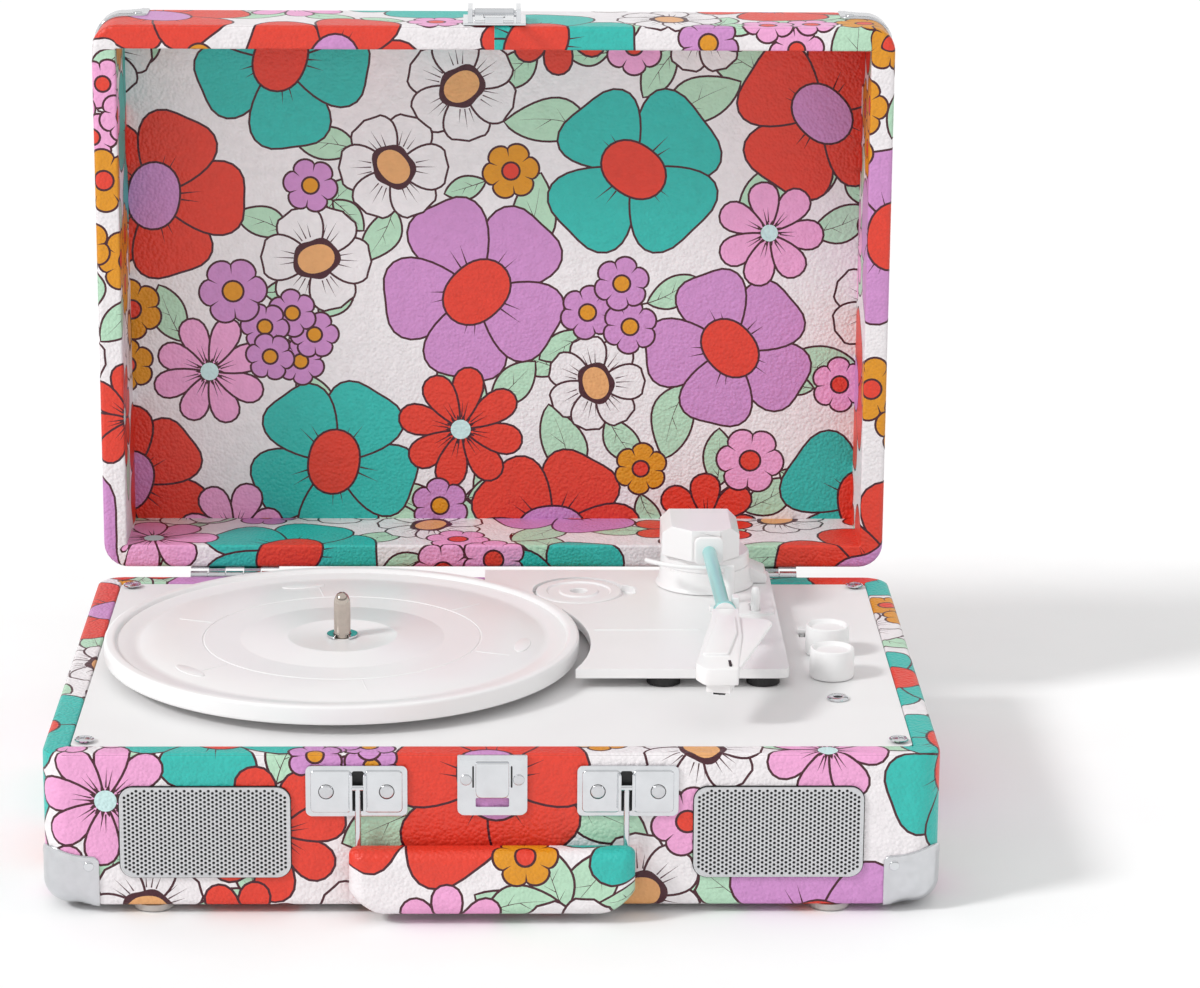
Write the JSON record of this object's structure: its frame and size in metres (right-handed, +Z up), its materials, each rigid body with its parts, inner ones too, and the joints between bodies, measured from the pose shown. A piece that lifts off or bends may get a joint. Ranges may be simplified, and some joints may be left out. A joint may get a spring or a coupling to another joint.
{
  "type": "record player",
  "caption": "Suitcase record player with a hinged lid, belt-driven platter, tonearm with cueing lever, front speakers, rotary controls and a swinging carrying handle.",
  "frame": {"origin": "centre of the bounding box at floor level, with the lid open and the handle hanging", "axes": "+X towards the control side (the user's right), +Y towards the hinged back, +Z up"},
  "size_m": [0.3582, 0.3152, 0.3239],
  "materials": {
    "floral_cover": "pebbled leatherette with a printed floral pattern",
    "white_plastic": "satin moulded",
    "satin_metal": "satin plated",
    "chrome": "polished plated",
    "rubber": "matte",
    "black_plastic": "matte moulded",
    "aqua_paint": "satin paint",
    "board": "solder mask",
    "brass": "turned"
  },
  "bodies": {
    "base": {"base_case": "floral_cover", "motor_board": "white_plastic", "deck_screw_1": "satin_metal", "deck_screw_2": "satin_metal", "deck_screw_3": "satin_metal", "deck_screw_4": "satin_metal", "foot_1": "rubber", "foot_2": "rubber", "foot_3": "rubber", "foot_4": "rubber", "base_corner_1": "satin_metal", "base_corner_2": "satin_metal", "base_corner_3": "satin_metal", "base_corner_4": "satin_metal", "speaker_grille_left": "satin_metal", "speaker_grille_right": "satin_metal", "speaker_left": "black_plastic", "speaker_right": "black_plastic", "circuit_board": "board", "motor": "satin_metal", "drive_belt": "rubber", "spindle": "chrome", "spindle_clip": "satin_metal", "tonearm_platform": "white_plastic", "tonearm_base": "white_plastic", "arm_rest": "white_plastic", "latch_catch": "chrome", "handle_bracket_left": "chrome", "handle_bracket_right": "chrome", "hinge_leaf_base_left": "chrome", "hinge_leaf_base_right": "chrome", "hinge_pin_left": "chrome", "hinge_pin_right": "chrome", "headphone_jack": "chrome", "rear_jack_panel": "black_plastic", "power_inlet": "black_plastic"},
    "lid": {"lid_shell": "floral_cover", "lid_corner_1": "satin_metal", "lid_corner_2": "satin_metal", "lid_corner_3": "satin_metal", "lid_corner_4": "satin_metal", "lid_latch_plate": "chrome", "hinge_leaf_lid_left": "chrome", "hinge_leaf_lid_right": "chrome"},
    "hasp": {"latch_hasp": "chrome"},
    "platter": {"platter": "white_plastic"},
    "pulley": {"motor_pulley": "brass"},
    "arm_head": {"tonearm_yoke": "white_plastic"},
    "arm": {"tonearm_tube": "aqua_paint", "headshell": "white_plastic", "cartridge": "white_plastic", "stylus": "rubber"},
    "cue_lever": {"cue_lever": "white_plastic"},
    "cue_lift": {"cue_lift": "white_plastic"},
    "volume": {"knob_volume": "white_plastic"},
    "selector": {"knob_selector": "white_plastic"},
    "auto_stop": {"auto_stop_slider": "white_plastic"},
    "handle": {"handle_grip": "floral_cover", "handle_wire": "chrome"},
    "adapter": {"record_adapter": "white_plastic"}
  },
  "joints": [
    {"name": "lid_hinge", "type": "hinge", "parent": "base", "child": "lid", "pos_m": [0, 0.1079, 0.06605], "axis": [1, 0, 0], "range_deg": [0, 90]},
    {"name": "hasp_hinge", "type": "hinge", "parent": "lid", "child": "hasp", "pos_m": [0, 0.11445, 0.3215], "axis": [-1, 0, 0], "range_deg": [0, 100]},
    {"name": "platter_spin", "type": "hinge", "parent": "base", "child": "platter", "pos_m": [-0.0637, -0.02055, 0.075], "axis": [0, 0, -1], "continuous": true},
    {"name": "pulley_spin", "type": "hinge", "parent": "base", "child": "pulley", "pos_m": [-0.0217, 0.0522, 0.071], "axis": [0, 0, -1], "continuous": true},
    {"name": "arm_swing", "type": "hinge", "parent": "base", "child": "arm_head", "pos_m": [0.0935, 0.06845, 0.0909], "axis": [0, 0, -1], "range_deg": [0, 46]},
    {"name": "arm_lift", "type": "hinge", "parent": "arm_head", "child": "arm", "pos_m": [0.0935, 0.06845, 0.096], "axis": [-0.9997, -0.0244, 0], "range_deg": [0, 4]},
    {"name": "cue_lever_tilt", "type": "hinge", "parent": "base", "child": "cue_lever", "pos_m": [0.1135, 0.02445, 0.0692], "axis": [-1, 0, 0], "range_deg": [0, 30]},
    {"name": "cue_lift_rise", "type": "slide", "parent": "base", "child": "cue_lift", "axis": [0, 0, 1], "range_m": [0, 0.0023]},
    {"name": "volume_turn", "type": "hinge", "parent": "base", "child": "volume", "pos_m": [0.1418, -0.04155, 0.073], "axis": [0, 0, -1], "range_deg": [0, 270]},
    {"name": "selector_turn", "type": "hinge", "parent": "base", "child": "selector", "pos_m": [0.1423, -0.00935, 0.073], "axis": [0, 0, -1], "range_deg": [0, 90]},
    {"name": "auto_stop_slide", "type": "slide", "parent": "base", "child": "auto_stop", "axis": [0, 1, 0], "range_m": [-0.003, 0.003]},
    {"name": "handle_swing", "type": "hinge", "parent": "base", "child": "handle", "pos_m": [0, -0.14715, 0.0543], "axis": [-1, 0, 0], "range_deg": [0, 90]},
    {"name": "adapter_lift", "type": "slide", "parent": "base", "child": "adapter", "axis": [0, 0, 1], "range_m": [0, 0.015]}
  ],
  "couplings": [
    {"joint": "pulley_spin", "follows": "platter_spin", "ratio": 15},
    {"joint": "cue_lever_tilt", "follows": "arm_lift", "ratio": 7.5},
    {"joint": "cue_lift_rise", "follows": "arm_lift", "m_per_rad": 0.032945}
  ]
}
